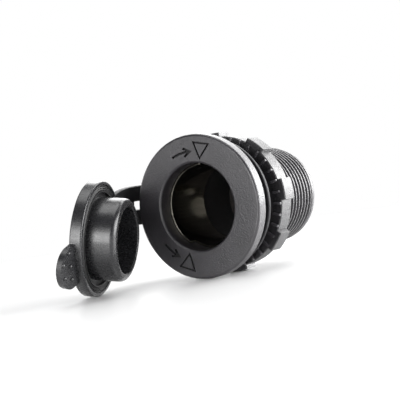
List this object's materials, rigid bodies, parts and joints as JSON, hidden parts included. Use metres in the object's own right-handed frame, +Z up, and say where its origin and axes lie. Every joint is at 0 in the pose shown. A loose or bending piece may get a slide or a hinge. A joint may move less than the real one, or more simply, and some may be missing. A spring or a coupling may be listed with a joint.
{
  "type": "panel-mount power socket",
  "caption": "Round panel-mount 12 V power socket with a threaded barrel, castellated lock nut, blade terminals and a plug-in dust cap on a flexible strap.",
  "frame": {"origin": "on the bore axis, in the plane of the panel that the flange is clamped to, inside the contact sleeve", "axes": "-Y out of the mouth along the bore axis, +Z up, +X to the right as seen from the mouth; the strap is on the -X side"},
  "size_m": [0.0451, 0.0826, 0.0373],
  "materials": {
    "black_nylon": "fine moulded grain, satin",
    "soft_black": "smooth, semi-gloss",
    "plated_sleeve": "nickel plated, drawn",
    "insulator": "matt moulded",
    "brass": "turned",
    "tinned_brass": "tin plated, stamped"
  },
  "bodies": {
    "socket": {"socket_body": "black_nylon", "contact_sleeve": "plated_sleeve", "terminal_base": "insulator", "centre_contact": "brass", "terminal_rivet": "brass", "positive_terminal": "tinned_brass", "negative_terminal": "tinned_brass", "cap_ring": "soft_black"},
    "nut": {"lock_nut": "black_nylon"},
    "strap": {"cap_strap": "soft_black"},
    "cap": {"cap": "soft_black"}
  },
  "joints": [
    {"name": "nut_travel", "type": "slide", "parent": "socket", "child": "nut", "axis": [0, 1, 0], "range_m": [-0.0037, 0.018]},
    {"name": "cap_swing", "type": "hinge", "parent": "socket", "child": "strap", "pos_m": [-0.01755, -0.0034, 0], "axis": [0.0332, 0.3057, -0.9515], "range_deg": [-73.8, 75], "deforming": ["cap_strap"]},
    {"name": "cap_push", "type": "slide", "parent": "strap", "child": "cap", "axis": [0.9211, 0.3464, -0.1778], "range_m": [0, 0.0045], "deforming": ["cap_strap"]}
  ]
}
